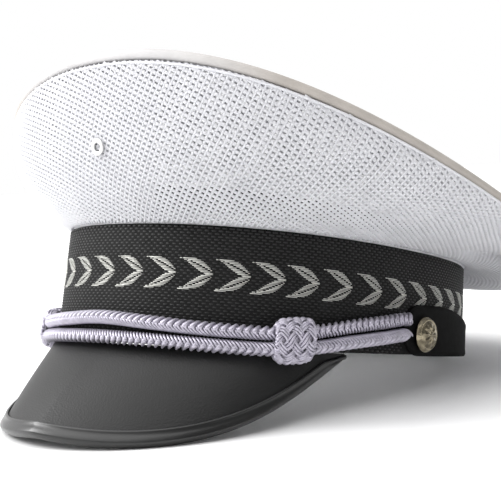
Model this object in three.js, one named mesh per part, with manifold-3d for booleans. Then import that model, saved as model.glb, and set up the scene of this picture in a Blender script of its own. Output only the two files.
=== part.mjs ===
import * as THREE from 'three';
import Module from 'manifold-3d';
import { mergeVertices } from 'three/addons/utils/BufferGeometryUtils.js';

// A peaked cap with an open-mesh crown, a woven band, a stitched peak, two braided cords and a back strap.
// Millimetres. The cap is drawn upright: front towards -Y, the wearer's left towards +X, up is +Z.
// Heights are counted from the lower edge of the band at the front. The whole cap is tilted at the end,
// so that it rests on the edge of its peak and on the back of its band.

// Clearance between neighbouring pieces
const gap = 0.3;

// Band: an oval wall, taller at the front than at the back
const bandHalfWidth = 82;
const bandFrontReach = 100.5;
const bandBackReach = 98.5;
const bandRoundness = 0.9;
const bandHeight = 48;
const bandBackRise = 9.2;
const bandTopInset = 1.4;
const bandWall = 1.6;

// Inner headband, standing up inside the crown, and the white tape on the crown's seam
const headbandWall = 1.2;
const headbandRiseFront = 16;
const headbandRiseBack = 8;
const headbandGap = 0.6;
const headbandLift = 1.5;
const tapeWall = 0.6;
const tapeRise = 5;

// Crown: the oval of its rim, the rim's height above the band, and the drop from the panel's top end
// to the level of its belly
const rimHalfWidth = 127;
const rimFrontReach = 116.5;
const rimBackReach = 148;
const rimRoundness = 0.93;
const rimRiseFront = 66;
const rimRiseSide = 16.5;
const rimRiseBack = 8;
const bellyDropFront = 43;
const bellyDropSide = 7;
const bellyDropBack = 17;
const crownWall = 1.1;
const crownInset = 0.2;
const rimRollRadius = 1.9;
const topDomeHeight = 5;

// Soft dents in the side panel, which fade out over the first and last share of its height. Columns: place
// round the band and half width, as shares of its length, height and half height as shares of the panel,
// depth as a share of the rim's rise at the side
const crownDents = [
  { around: 0.325, spread: 0.022, height: 0.3, reach: 0.22, depth: 0.16 },
  { around: 0.39, spread: 0.03, height: 0.62, reach: 0.3, depth: 0.12 },
  { around: 0.675, spread: 0.022, height: 0.3, reach: 0.22, depth: 0.16 },
  { around: 0.6, spread: 0.03, height: 0.62, reach: 0.3, depth: 0.12 },
  { around: 0.5, spread: 0.04, height: 0.45, reach: 0.3, depth: 0.14 },
];
const dentFade = 1 / 6;

// White stay that stiffens the front of the crown
const stayWidth = 40;
const stayWall = 0.8;
const stayStart = 0.09;
const stayEnd = 0.93;

// Eyelet at the front of the crown
const eyeletRise = 29;
const eyeletRadius = 3.5;
const eyeletHoleRadius = 1.7;
const eyeletBarrelWall = 0.5;
const eyeletFlange = 0.7;
const eyeletBevel = 0.3;

// Peak: reach down its slope at the front centre, slope in degrees, and half its length along the band
const peakReach = 49.2;
const peakTipReach = 1;
const peakFullness = 1.02;
const peakHalfSpan = 103.5;
const peakSlopeFront = 47.5;
const peakSlopeGain = 41;
const peakSlopeSpread = 1.25;
const peakCamber = 1.2;
const peakWall = 2.2;

// Binding folded round the edge of the peak
const bindingWidth = 5;
const bindingWall = 0.8;
const bindingTaper = 0.6;
const bindingAim = 0.04;

// Strap round the back, from button to button. Distances along the band start at the front centre
const strapWall = 1.4;
const strapEndHeight = 21.6;
const strapBackHeight = 14;
const strapFullLength = 11;
const strapTaperLength = 65;
const strapTipAngle = 0.045;
const strapDrop = 0.5;

// Side buttons
const buttonRadius = 7.5;
const buttonFoot = 0.9;
const buttonDomeHeight = 2.9;
const buttonEdge = 1;
const buttonDistance = 149;
const buttonHeight = 13.4;

// The straight part of the strap starts just in front of the buttons' middles
const strapLead = 2.5;
const strapEndDistance = buttonDistance - strapLead;
const strapTaperStart = buttonDistance + strapFullLength;
const strapTaperEnd = strapTaperStart + strapTaperLength;

// Braided cords. Columns: distance from the front centre as a share of the way to the strap,
// heights of the two cords as shares of the band's height
const cordRadius = 3.2;
const cordRoute = [
  { along: 0, upper: 0.21, lower: 0.034 },
  { along: 0.18, upper: 0.185, lower: 0.028 },
  { along: 0.33, upper: 0.165, lower: 0.022 },
  { along: 0.45, upper: 0.163, lower: 0.02 },
  { along: 0.53, upper: 0.172, lower: 0.03 },
  { along: 0.66, upper: 0.218, lower: 0.075 },
  { along: 0.77, upper: 0.285, lower: 0.14 },
  { along: 0.89, upper: 0.347, lower: 0.2 },
  { along: 1, upper: 0.4, lower: 0.252 },
];

// Woven slide knots that both cords pass through
const knotPlace = 0.578;
const knotHalfLength = 7.3;
const knotHalfHeight = 9.3;
const knotBackWall = 1.4;
const knotFrontWall = 2.6;
const knotBarrel = 0.2;
const knotRoundness = 0.75;
const knotSlotRoundness = 0.55;
const knotSlotEase = 1.04;
const knotLeadStart = 0.5;
const knotLeadLength = 7;

// Steps of the faceted curves
const ringSteps = 60;
const panelSteps = 8;
const rollSteps = 8;
const peakSteps = 36;
const peakRows = 4;
const cordSteps = 42;
const cordSides = 8;
const knotSides = 16;
const knotRows = 7;
const staySteps = 8;
const strapSteps = 18;
const strapRoundSteps = 6;
const domeSteps = 7;
const turnedSides = 24;
const topRings = [0.22, 0.42, 0.6, 0.76, 0.89, 1];

// Fineness of the sums: divisions of an oval, steps for slopes, halvings, the steepest tilt that is tried,
// and the reach of a weld
const ovalDivisions = 720;
const ovalStep = 0.002;
const panelStep = 0.004;
const halvings = 40;
const steepestTilt = Math.PI / 6;
const weldDistance = 1e-5;

const finish = (color, roughness, metalness) => new THREE.MeshStandardMaterial({ color, roughness, metalness });
const cloth = (colour, roughness) => finish(colour, roughness, 0);
const metal = (colour, roughness) => finish(colour, roughness, 1);
const whiteMesh = cloth(0xf1f1f4, 0.85);
const whiteStay = cloth(0xfafafc, 0.8);
const greyRoll = cloth(0xd5d1cc, 0.8);
const blackWeave = cloth(0x202123, 0.85);
const blackHeadband = cloth(0x17181a, 0.7);
const blackLeather = cloth(0x232427, 0.45);
const blackBinding = cloth(0x1c1d1f, 0.3);
const silverCord = cloth(0xbdb8c8, 0.55);
const agedBrass = metal(0x97907c, 0.42);
const whiteMetal = metal(0xe8e8e6, 0.35);

const up = new THREE.Vector3(0, 0, 1);

// An oval seen from above, with its own reach to the front and to the back
class Oval extends THREE.Curve {
  constructor(halfWidth, frontReach, backReach, roundness) {
    super();
    this.halfWidth = halfWidth;
    this.frontReach = frontReach;
    this.backReach = backReach;
    this.roundness = roundness;
    this.arcLengthDivisions = ovalDivisions;
  }

  bend(value) {
    return Math.sign(value) * Math.abs(value) ** this.roundness;
  }

  getPoint(turn, target = new THREE.Vector3()) {
    const across = Math.sin(2 * Math.PI * turn);
    const ahead = Math.cos(2 * Math.PI * turn);
    const reach = ahead > 0 ? this.frontReach : this.backReach;
    return target.set(this.halfWidth * this.bend(across), -reach * this.bend(ahead), 0);
  }

  outward(turn) {
    const before = this.getPoint(turn - ovalStep);
    const after = this.getPoint(turn + ovalStep);
    return after.sub(before).normalize().cross(up);
  }
}

const bandOval = new Oval(bandHalfWidth, bandFrontReach, bandBackReach, bandRoundness);
const rimOval = new Oval(rimHalfWidth, rimFrontReach, rimBackReach, rimRoundness);
const bandLength = bandOval.getLength();

function wrapped(value) {
  return value - Math.floor(value);
}

// Turn of the oval at a distance along the band from the front centre
function turnAt(distance) {
  return bandOval.getUtoTmapping(wrapped(distance / bandLength));
}

function bandBottom(y) {
  return bandBackRise * (y + bandFrontReach) / (bandFrontReach + bandBackReach);
}

// A place on the band: its turn, its height and how far it stands out from the band's face
function bandPlace(turn, height, out) {
  const lean = -bandTopInset * height / bandHeight;
  return bandOval.getPoint(turn).addScaledVector(bandOval.outward(turn), out + lean).setZ(height);
}

function bandBottomAt(turn) {
  return bandBottom(bandOval.getPoint(turn).y);
}

// Rim height over the band, higher at the front than at the sides and the back
function rimHeight(turn) {
  const ahead = Math.cos(2 * Math.PI * turn);
  const slope = (rimRiseFront - rimRiseBack) / 2;
  const saddle = (rimRiseFront + rimRiseBack) / 2 - rimRiseSide;
  return bandHeight + rimRiseSide + slope * ahead + saddle * ahead ** 2;
}

function bellyDropAt(turn) {
  const ahead = Math.cos(2 * Math.PI * turn);
  const end = ahead > 0 ? bellyDropFront : bellyDropBack;
  return bellyDropSide + (end - bellyDropSide) * ahead ** 2;
}

function rimPlace(turn, inset) {
  return rimOval.getPoint(turn).addScaledVector(rimOval.outward(turn), -inset);
}

// Undented side panel: a curve from the band's top, out round the belly and up to the rim
function panelCurve(turn, share) {
  const foot = bandPlace(turn, bandHeight, -crownInset).setZ(bandHeight + gap);
  const head = rimPlace(turn, 0).setZ(rimHeight(turn) - 2 * rimRollRadius - gap);
  const elbow = head.clone().addScaledVector(up, -bellyDropAt(turn));
  return new THREE.QuadraticBezierCurve3(foot, elbow, head).getPoint(share);
}

function panelOutward(turn, share) {
  const low = Math.max(share - panelStep, 0);
  const high = Math.min(share + panelStep, 1);
  const round = panelCurve(turn + panelStep, share).sub(panelCurve(turn - panelStep, share));
  const rise = panelCurve(turn, high).sub(panelCurve(turn, low));
  return round.cross(rise).normalize();
}

function dentDepth(turn, share) {
  const around = wrapped(turn);
  let depth = 0;
  for (const dent of crownDents) {
    const aside = (around - dent.around) / dent.spread;
    const above = (share - dent.height) / dent.reach;
    depth += dent.depth * rimRiseSide * Math.exp(-(aside ** 2) - above ** 2);
  }
  return depth * Math.min(1, share / dentFade, (1 - share) / dentFade);
}

// Side panel at a depth behind its outer face
function panelPlace(turn, share, depth) {
  const inward = dentDepth(turn, share) + depth;
  return panelCurve(turn, share).addScaledVector(panelOutward(turn, share), -inward);
}

// Closed geometry from points and triangles, turned the right way out
function solidFrom(points, triangles) {
  let volume = 0;
  for (const [a, b, c] of triangles) {
    volume += points[a].dot(points[b].clone().cross(points[c]));
  }
  const order = volume < 0 ? triangles.map(([a, b, c]) => [a, c, b]) : triangles;
  const geometry = new THREE.BufferGeometry();
  geometry.setAttribute('position', new THREE.Float32BufferAttribute(points.flatMap((p) => p.toArray()), 3));
  geometry.setIndex(order.flat());
  geometry.computeVertexNormals();
  return geometry;
}

// Wall between two grids of points of the same size; the columns may run round and meet
function wallBetween(outer, inner, round) {
  const rows = outer.length;
  const columns = outer[0].length;
  const points = [...outer.flat(), ...inner.flat()];
  const at = (side, row, column) => side * rows * columns + row * columns + (column % columns);
  const triangles = [];
  const quad = (a, b, c, d) => triangles.push([a, b, c], [a, c, d]);
  const spans = round ? columns : columns - 1;
  for (let column = 0; column < spans; column += 1) {
    const next = column + 1;
    for (let row = 0; row + 1 < rows; row += 1) {
      quad(at(0, row, column), at(0, row, next), at(0, row + 1, next), at(0, row + 1, column));
      quad(at(1, row, next), at(1, row, column), at(1, row + 1, column), at(1, row + 1, next));
    }
    quad(at(0, 0, next), at(0, 0, column), at(1, 0, column), at(1, 0, next));
    const last = rows - 1;
    quad(at(0, last, column), at(0, last, next), at(1, last, next), at(1, last, column));
  }
  if (!round) {
    const end = columns - 1;
    for (let row = 0; row + 1 < rows; row += 1) {
      quad(at(0, row, 0), at(0, row + 1, 0), at(1, row + 1, 0), at(1, row, 0));
      quad(at(0, row + 1, end), at(0, row, end), at(1, row, end), at(1, row + 1, end));
    }
  }
  return solidFrom(points, triangles);
}

// Solid from closed sections in a row; a loop joins the last section to the first
function sweptSolid(sections, loop) {
  const sides = sections[0].length;
  const points = sections.flat();
  const triangles = [];
  const spans = loop ? sections.length : sections.length - 1;
  for (let station = 0; station < spans; station += 1) {
    const here = station * sides;
    const there = ((station + 1) % sections.length) * sides;
    for (let side = 0; side < sides; side += 1) {
      const next = (side + 1) % sides;
      triangles.push([here + side, there + side, there + next], [here + side, there + next, here + next]);
    }
  }
  return { points, triangles };
}

function evenly(count, start, end) {
  return Array.from({ length: count + 1 }, (unused, index) => start + (end - start) * index / count);
}

const ringTurns = evenly(ringSteps, 0, bandLength).slice(0, -1).map(turnAt);

function makeCrownSide() {
  const shares = evenly(panelSteps, 0, 1);
  const skin = (depth) => shares.map((share) => ringTurns.map((turn) => panelPlace(turn, share, depth)));
  return wallBetween(skin(0), skin(crownWall), true);
}

function makeRimRoll() {
  const sections = ringTurns.map((turn) => {
    const centre = rimPlace(turn, rimRollRadius).setZ(rimHeight(turn) - rimRollRadius);
    const outward = rimOval.outward(turn);
    return evenly(rollSteps, 0, 2 * Math.PI).slice(0, -1).map((angle) => centre.clone()
      .addScaledVector(outward, rimRollRadius * Math.cos(angle))
      .addScaledVector(up, rimRollRadius * Math.sin(angle)));
  });
  const { points, triangles } = sweptSolid(sections, true);
  return solidFrom(points, triangles);
}

// Top panel: stretched over the saddle of the rim, with a low dome
function makeCrownTop() {
  const inset = 2 * rimRollRadius + gap;
  const slope = (rimRiseFront - rimRiseBack) / 2;
  const saddle = ((rimRiseFront + rimRiseBack) / 2 - rimRiseSide) / 2;
  const middle = bandHeight + rimRiseSide + saddle - rimRollRadius;
  const place = (turn, share, drop) => {
    const angle = 2 * Math.PI * turn;
    const tilt = slope * share * Math.cos(angle) + saddle * share ** 2 * Math.cos(2 * angle);
    const height = middle + tilt + topDomeHeight * (1 - share ** 2) - drop;
    return rimPlace(turn, inset).multiplyScalar(share).setZ(height);
  };
  const half = crownWall / 2;
  const rings = [];
  for (const drop of [-half, half]) {
    rings.push(topRings.map((share) => ringTurns.map((turn) => place(turn, share, drop))));
  }
  const points = [...rings[0].flat(), ...rings[1].flat()];
  const layer = topRings.length * ringSteps;
  const at = (side, ring, step) => side * layer + ring * ringSteps + (step % ringSteps);
  const hubs = [-half, half].map((drop) => points.push(place(0, 0, drop)) - 1);
  const triangles = [];
  const quad = (a, b, c, d) => triangles.push([a, b, c], [a, c, d]);
  for (let step = 0; step < ringSteps; step += 1) {
    const next = step + 1;
    triangles.push([hubs[0], at(0, 0, step), at(0, 0, next)], [hubs[1], at(1, 0, next), at(1, 0, step)]);
    for (let ring = 0; ring + 1 < topRings.length; ring += 1) {
      quad(at(0, ring, step), at(0, ring + 1, step), at(0, ring + 1, next), at(0, ring, next));
      quad(at(1, ring, next), at(1, ring + 1, next), at(1, ring + 1, step), at(1, ring, step));
    }
    const edge = topRings.length - 1;
    quad(at(0, edge, step), at(1, edge, step), at(1, edge, next), at(0, edge, next));
  }
  return solidFrom(points, triangles);
}

// Upright ring wall that follows the band, with its outer face a set distance out from the band's face
function makeRing(bottomOf, topOf, out, wall) {
  const face = (depth) => [bottomOf, topOf].map((heightOf) => (
    ringTurns.map((turn) => bandPlace(turn, heightOf(turn), out - depth))));
  return wallBetween(face(0), face(wall), true);
}

const makeBand = () => makeRing(bandBottomAt, () => bandHeight, 0, bandWall);

const headbandOut = -bandWall - headbandGap;

function makeHeadband() {
  const bottom = (turn) => bandBottomAt(turn) + headbandLift;
  const top = (turn) => {
    const backward = (1 - Math.cos(2 * Math.PI * turn)) / 2;
    return bandHeight + THREE.MathUtils.lerp(headbandRiseFront, headbandRiseBack, backward);
  };
  return makeRing(bottom, top, headbandOut, headbandWall);
}

function makeSeamTape() {
  const bottom = () => bandHeight + gap;
  return makeRing(bottom, () => bandHeight + tapeRise, headbandOut + gap + tapeWall, tapeWall);
}

function makeFrontStay() {
  const turns = evenly(staySteps, -stayWidth / 2, stayWidth / 2).map((distance) => {
    const turn = turnAt(distance);
    return turn > 0.5 ? turn - 1 : turn;
  });
  const shares = evenly(staySteps, stayStart, stayEnd);
  const skin = (depth) => shares.map((share) => turns.map((turn) => panelPlace(turn, share, depth)));
  return wallBetween(skin(crownWall + gap), skin(crownWall + gap + stayWall), false);
}

// Peak surface: span runs from -1 to 1 along the band, fall runs from 0 at the band to 1 at the edge
function peakFrame(span) {
  const turn = turnAt(span * peakHalfSpan);
  const slope = THREE.MathUtils.degToRad(peakSlopeFront + peakSlopeGain * Math.abs(span) ** peakSlopeSpread);
  const outward = bandOval.outward(turn);
  const root = bandPlace(turn, bandBottomAt(turn) - gap, 0);
  const down = outward.clone().multiplyScalar(Math.cos(slope)).addScaledVector(up, -Math.sin(slope));
  const face = outward.clone().multiplyScalar(Math.sin(slope)).addScaledVector(up, Math.cos(slope));
  const fullness = Math.max(Math.cos(span * Math.PI / 2), 0) ** peakFullness;
  const reach = peakTipReach + (peakReach - peakTipReach) * fullness;
  return { root, down, face, reach };
}

function peakPlace(span, fall, depth) {
  const { root, down, face, reach } = peakFrame(span);
  const camber = peakCamber * Math.sin(Math.PI * fall) * reach / peakReach;
  return root.addScaledVector(down, reach * fall).addScaledVector(face, camber - depth);
}

const peakSpans = evenly(peakSteps, -1, 1);

function makePeak() {
  const falls = evenly(peakRows, 0, 1);
  const skin = (depth) => falls.map((fall) => peakSpans.map((span) => peakPlace(span, fall, depth)));
  return wallBetween(skin(0), skin(peakWall), false);
}

// Binding: a folded section with a slot that the edge of the peak sits in
function makeBinding() {
  const sections = peakSpans.map((span) => {
    const { face, reach } = peakFrame(span);
    const edge = peakPlace(span, 1, peakWall / 2);
    const near = peakPlace(span, 1 - bindingAim, peakWall / 2);
    const along = edge.clone().sub(near).normalize();
    const across = face.clone().addScaledVector(along, -face.dot(along)).normalize();
    const width = Math.min(bindingWidth, bindingTaper * reach);
    const slot = peakWall / 2 + gap;
    const thick = slot + bindingWall;
    const lip = gap + bindingWall;
    const nose = Math.SQRT1_2;
    const outline = [
      [-width, slot], [-width, thick], [0, thick], [lip * nose, thick * nose], [lip, 0],
      [lip * nose, -thick * nose], [0, -thick], [-width, -thick], [-width, -slot], [gap, -slot], [gap, slot],
    ];
    return outline.map(([x, y]) => edge.clone().addScaledVector(along, x).addScaledVector(across, y));
  });
  const { points, triangles } = sweptSolid(sections, false);
  const lid = [
    [0, 1, 2], [0, 2, 10], [10, 2, 3], [10, 3, 4], [10, 4, 9], [9, 4, 5], [9, 5, 6], [9, 6, 8], [8, 6, 7],
  ];
  const last = (sections.length - 1) * sections[0].length;
  for (const [a, b, c] of lid) {
    triangles.push([a, b, c], [last + a, last + c, last + b]);
  }
  return solidFrom(points, triangles);
}

// Strap: full height at the buttons, narrower round the back, with round ends
function strapHeightAt(distance) {
  const share = THREE.MathUtils.smoothstep(distance, strapTaperStart, strapTaperEnd);
  return THREE.MathUtils.lerp(strapEndHeight, strapBackHeight, share);
}

function makeStrap() {
  const endRadius = strapEndHeight / 2;
  const rounding = evenly(strapRoundSteps, strapTipAngle, Math.PI / 2).slice(0, -1)
    .map((angle) => strapEndDistance - endRadius * Math.cos(angle));
  const halfWay = evenly(strapSteps, strapEndDistance, bandLength / 2);
  const left = [...rounding, ...halfWay];
  const right = left.slice(0, -1).reverse().map((distance) => bandLength - distance);
  const stations = [...left, ...right];
  const place = (distance, side, out) => {
    const turn = turnAt(distance);
    const fromFront = Math.min(distance, bandLength - distance);
    const half = strapHeightAt(fromFront) / 2;
    const middle = bandBottomAt(turn) - strapDrop + half;
    const short = Math.max(strapEndDistance - fromFront, 0) / endRadius;
    return bandPlace(turn, middle + side * half * Math.sqrt(1 - short ** 2), out);
  };
  const skin = (out) => [-1, 1].map((side) => stations.map((distance) => place(distance, side, out)));
  return wallBetween(skin(gap + strapWall), skin(gap), false);
}

// Cords: both follow the band from strap end to strap end, and stand out further inside the knots
const cordEndDistance = strapEndDistance - strapEndHeight / 2 - gap;
const knotStandOff = gap + knotBackWall + gap + cordRadius;
const cordStandOff = gap + cordRadius;

function cordHeight(distance, which) {
  const route = cordRoute.map((row) => new THREE.Vector2(row.along, row[which]));
  const mirrored = route.slice(1).reverse().map((point) => new THREE.Vector2(-point.x, point.y));
  const points = [...mirrored, ...route];
  const along = distance / cordEndDistance;
  const index = THREE.MathUtils.clamp(points.findIndex((point) => point.x >= along), 1, points.length - 1);
  const pick = (step) => points[THREE.MathUtils.clamp(index + step, 0, points.length - 1)];
  const share = (along - pick(-1).x) / (pick(0).x - pick(-1).x);
  const smooth = (a, b, c, d) => b + 0.5 * share * (c - a + share * (2 * a - 5 * b + 4 * c - d
    + share * (3 * (b - c) + d - a)));
  return bandHeight * smooth(pick(-2).y, pick(-1).y, pick(0).y, pick(1).y);
}

function cordOut(distance) {
  const knotDistance = knotPlace * cordEndDistance;
  const off = Math.abs(Math.abs(distance) - knotDistance) - knotHalfLength;
  const ramp = 1 - THREE.MathUtils.smoothstep(off, knotLeadStart, knotLeadLength);
  return THREE.MathUtils.lerp(cordStandOff, knotStandOff, ramp);
}

function makeCord(which) {
  const route = evenly(cordSteps, -cordEndDistance, cordEndDistance).map((distance) => (
    bandPlace(turnAt(distance), cordHeight(distance, which), cordOut(distance))));
  const corners = evenly(cordSides, 0, 2 * Math.PI).slice(0, -1);
  const section = new THREE.Shape(corners.map((angle) => (
    new THREE.Vector2(cordRadius * Math.cos(angle), cordRadius * Math.sin(angle)))));
  const path = new THREE.CatmullRomCurve3(route);
  const options = { steps: cordSteps, extrudePath: path, bevelEnabled: false };
  const tube = new THREE.ExtrudeGeometry(section, options);
  tube.deleteAttribute('normal');
  tube.deleteAttribute('uv');
  return mergeVertices(tube);
}

// Knot: a barrel-shaped sleeve with an oval way through for the two cords
function makeKnot(side) {
  const centre = side * knotPlace * cordEndDistance;
  const rows = evenly(knotRows - 1, -1, 1);
  const angles = evenly(knotSides, 0, 2 * Math.PI).slice(0, -1);
  const rounded = (angle, power) => {
    const bend = (value) => Math.sign(value) * Math.abs(value) ** power;
    return [bend(Math.cos(angle)), bend(Math.sin(angle))];
  };
  const ring = (row, halfOut, halfUp, outShift, power) => {
    const distance = centre + row * knotHalfLength;
    const upper = cordHeight(distance, 'upper');
    const lower = cordHeight(distance, 'lower');
    const barrel = 1 - knotBarrel * row ** 4;
    return angles.map((angle) => {
      const [x, y] = rounded(angle, power);
      const height = (upper + lower) / 2 + halfUp * y * (outShift ? barrel : 1);
      const out = knotStandOff + outShift + halfOut * x * (outShift ? (1 + barrel) / 2 : 1);
      return bandPlace(turnAt(distance), height, Math.max(out, gap));
    });
  };
  const slotOut = cordRadius + gap;
  const slotHalfOut = slotOut * knotSlotEase;
  const shift = (knotFrontWall - knotBackWall) / 2;
  const halfOut = slotOut + (knotFrontWall + knotBackWall) / 2;
  const cordSpread = cordHeight(centre, 'upper') - cordHeight(centre, 'lower');
  const slotHalfUp = (cordSpread / 2 + cordRadius + gap) * knotSlotEase;
  const outer = rows.map((row) => ring(row, halfOut, knotHalfHeight, shift, knotRoundness));
  const inner = rows.map((row) => ring(row, slotHalfOut, slotHalfUp, 0, knotSlotRoundness));
  return wallBetween(outer, inner, true);
}

// Button: a domed disc on the strap
function makeButton() {
  const dome = evenly(domeSteps, 0, Math.PI / 2).map((angle) => (
    new THREE.Vector2(buttonRadius * Math.cos(angle), buttonEdge + buttonDomeHeight * Math.sin(angle))));
  dome[dome.length - 1].x = 0;
  const profile = [new THREE.Vector2(0, 0), new THREE.Vector2(buttonRadius * buttonFoot, 0), ...dome];
  return new THREE.LatheGeometry(profile, turnedSides).rotateX(Math.PI / 2);
}

// Eyelet: a flat flange on the crown and a barrel through the crown and the stay
const eyeletDepth = crownWall + gap + stayWall + gap;

function makeEyelet() {
  const barrelRadius = eyeletHoleRadius + eyeletBarrelWall;
  const profile = [
    [eyeletHoleRadius, -eyeletDepth], [barrelRadius, -eyeletDepth], [barrelRadius, gap],
    [eyeletRadius, gap], [eyeletRadius, gap + eyeletFlange / 2],
    [eyeletRadius - eyeletBevel, gap + eyeletFlange],
    [eyeletHoleRadius, gap + eyeletFlange], [eyeletHoleRadius, -eyeletDepth],
  ].map(([x, y]) => new THREE.Vector2(x, y));
  return new THREE.LatheGeometry(profile, turnedSides).rotateX(Math.PI / 2);
}

// Share of the front panel at a height above the band
function shareAtRise(rise) {
  let low = 0;
  let high = 1;
  for (let pass = 0; pass < halvings; pass += 1) {
    const middle = (low + high) / 2;
    const height = panelCurve(0, middle).z - bandHeight;
    [low, high] = height < rise ? [middle, high] : [low, middle];
  }
  return low;
}

const eyeletShare = shareAtRise(eyeletRise);
const eyeletPlace = panelPlace(0, eyeletShare, 0);
const eyeletAxis = panelOutward(0, eyeletShare);
const faceForward = new THREE.Vector3(0, 0, 1);

// Booleans: closed meshes to solids and back
const wasm = await Module();
wasm.setup();

function toSolid(geometry) {
  const bare = geometry.clone();
  bare.deleteAttribute('normal');
  bare.deleteAttribute('uv');
  const merged = mergeVertices(bare, weldDistance);
  return new wasm.Manifold(new wasm.Mesh({
    numProp: 3,
    vertProperties: Float32Array.from(merged.attributes.position.array),
    triVerts: Uint32Array.from(merged.index.array),
  }));
}

function toGeometry(manifold) {
  const mesh = manifold.getMesh();
  const geometry = new THREE.BufferGeometry();
  geometry.setAttribute('position', new THREE.BufferAttribute(Float32Array.from(mesh.vertProperties), 3));
  geometry.setIndex(new THREE.BufferAttribute(Uint32Array.from(mesh.triVerts), 1));
  geometry.computeVertexNormals();
  return geometry;
}

// Hole for the eyelet's barrel
function withEyeletHole(geometry) {
  const radius = eyeletHoleRadius + eyeletBarrelWall + gap;
  const drillLength = 4 * eyeletDepth;
  const drill = new THREE.CylinderGeometry(radius, radius, drillLength, turnedSides).rotateX(Math.PI / 2);
  drill.applyQuaternion(new THREE.Quaternion().setFromUnitVectors(faceForward, eyeletAxis));
  drill.translate(...eyeletPlace.toArray());
  return toGeometry(toSolid(geometry).subtract(toSolid(drill)));
}

const cap = new THREE.Group();

function add(name, geometry, material) {
  const mesh = new THREE.Mesh(geometry, material);
  mesh.name = name;
  cap.add(mesh);
  return mesh;
}

add('crown_side', withEyeletHole(makeCrownSide()), whiteMesh);
add('crown_top', makeCrownTop(), whiteMesh);
add('rim_roll', makeRimRoll(), greyRoll);
add('front_stay', withEyeletHole(makeFrontStay()), whiteStay);
add('seam_tape', makeSeamTape(), whiteStay);
add('hat_band', makeBand(), blackWeave);
add('inner_headband', makeHeadband(), blackHeadband);
add('peak', makePeak(), blackLeather);
const binding = add('peak_binding', makeBinding(), blackBinding);
add('cord_upper', makeCord('upper'), silverCord);
add('cord_lower', makeCord('lower'), silverCord);
add('knot_left', makeKnot(1), silverCord);
add('knot_right', makeKnot(-1), silverCord);
const strap = add('back_strap', makeStrap(), blackWeave);

for (const [name, side] of [['button_left', 1], ['button_right', -1]]) {
  const turn = turnAt(side * buttonDistance);
  const button = add(name, makeButton(), agedBrass);
  button.position.copy(bandPlace(turn, buttonHeight, gap + strapWall + gap));
  button.quaternion.setFromUnitVectors(faceForward, bandOval.outward(turn));
}

const eyelet = add('eyelet', makeEyelet(), whiteMetal);
eyelet.position.copy(eyeletPlace);
eyelet.quaternion.setFromUnitVectors(faceForward, eyeletAxis);

// Rest pose: the tilt at which the peak's binding and the back of the strap are equally low
function lowest(mesh, tilt) {
  const spots = mesh.geometry.attributes.position;
  let low = Infinity;
  for (let index = 0; index < spots.count; index += 1) {
    low = Math.min(low, spots.getZ(index) * Math.cos(tilt) - spots.getY(index) * Math.sin(tilt));
  }
  return low;
}

let level = 0;
let steep = steepestTilt;
for (let pass = 0; pass < halvings; pass += 1) {
  const trial = (level + steep) / 2;
  const frontIsLower = lowest(binding, trial) < lowest(strap, trial);
  [level, steep] = frontIsLower ? [trial, steep] : [level, trial];
}
cap.rotation.x = -level;

// The origin lies under the middle of the tilted cap, on the surface it rests on
cap.updateMatrixWorld(true);
const box = new THREE.Box3().setFromObject(cap, true);
const boxCentre = box.getCenter(new THREE.Vector3());
cap.position.set(-boxCentre.x, -boxCentre.y, -box.min.z);

const group = new THREE.Group();
group.add(cap);

export default group;
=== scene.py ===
import math

import bpy
import numpy as np
from mathutils import Matrix, Vector


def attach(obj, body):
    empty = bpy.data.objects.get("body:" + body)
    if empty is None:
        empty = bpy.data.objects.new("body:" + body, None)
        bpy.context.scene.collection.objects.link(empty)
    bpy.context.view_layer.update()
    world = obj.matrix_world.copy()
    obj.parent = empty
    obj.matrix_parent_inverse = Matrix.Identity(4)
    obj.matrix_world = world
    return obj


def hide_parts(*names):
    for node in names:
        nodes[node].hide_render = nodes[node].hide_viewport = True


# A peaked cap: open-mesh crown, woven band with leaf chevrons, two braided cords and a leather peak.
# Shapes are worked out in millimetres in the upright cap's own axes, front towards -Y, heights counted from
# the lower edge of the band at the front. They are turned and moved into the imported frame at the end.

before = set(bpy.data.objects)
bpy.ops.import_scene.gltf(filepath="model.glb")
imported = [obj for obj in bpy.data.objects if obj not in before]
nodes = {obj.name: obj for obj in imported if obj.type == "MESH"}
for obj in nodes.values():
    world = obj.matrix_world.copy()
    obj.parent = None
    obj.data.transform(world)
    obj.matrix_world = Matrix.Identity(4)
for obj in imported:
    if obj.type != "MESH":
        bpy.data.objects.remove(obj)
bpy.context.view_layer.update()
rng = np.random.default_rng(11)

MM = 0.001
UPRIGHT = np.array([0.0, 0.0, 1.0])

# Clearance and band
GAP = 0.3
BAND_HALF_WIDTH = 82.0
BAND_FRONT_REACH = 100.5
BAND_BACK_REACH = 98.5
BAND_ROUNDNESS = 0.9
BAND_HEIGHT = 48.0
BAND_BACK_RISE = 9.2
BAND_TOP_INSET = 1.4
BAND_WALL = 1.6

# Crown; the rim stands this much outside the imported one, as the photo's outline does
PIPING_SWELL = 1.2
RIM_HALF_WIDTH = 127.0 + PIPING_SWELL
RIM_FRONT_REACH = 116.5 + PIPING_SWELL
RIM_BACK_REACH = 148.0 + PIPING_SWELL
RIM_ROUNDNESS = 0.93
RIM_RISE_FRONT = 66.0 + PIPING_SWELL
RIM_RISE_SIDE = 16.5 + 1.5 * PIPING_SWELL
RIM_RISE_BACK = 8.0 + PIPING_SWELL
RIM_SLOPE = (RIM_RISE_FRONT - RIM_RISE_BACK) / 2
RIM_SADDLE = (RIM_RISE_FRONT + RIM_RISE_BACK) / 2 - RIM_RISE_SIDE
BELLY_DROP_FRONT = 43.0
BELLY_DROP_SIDE = 7.0
BELLY_DROP_BACK = 17.0
CROWN_WALL = 1.1
CROWN_INSET = 0.2
ROLL_RADIUS = 2.1
TOP_DOME = 5.0

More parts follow.
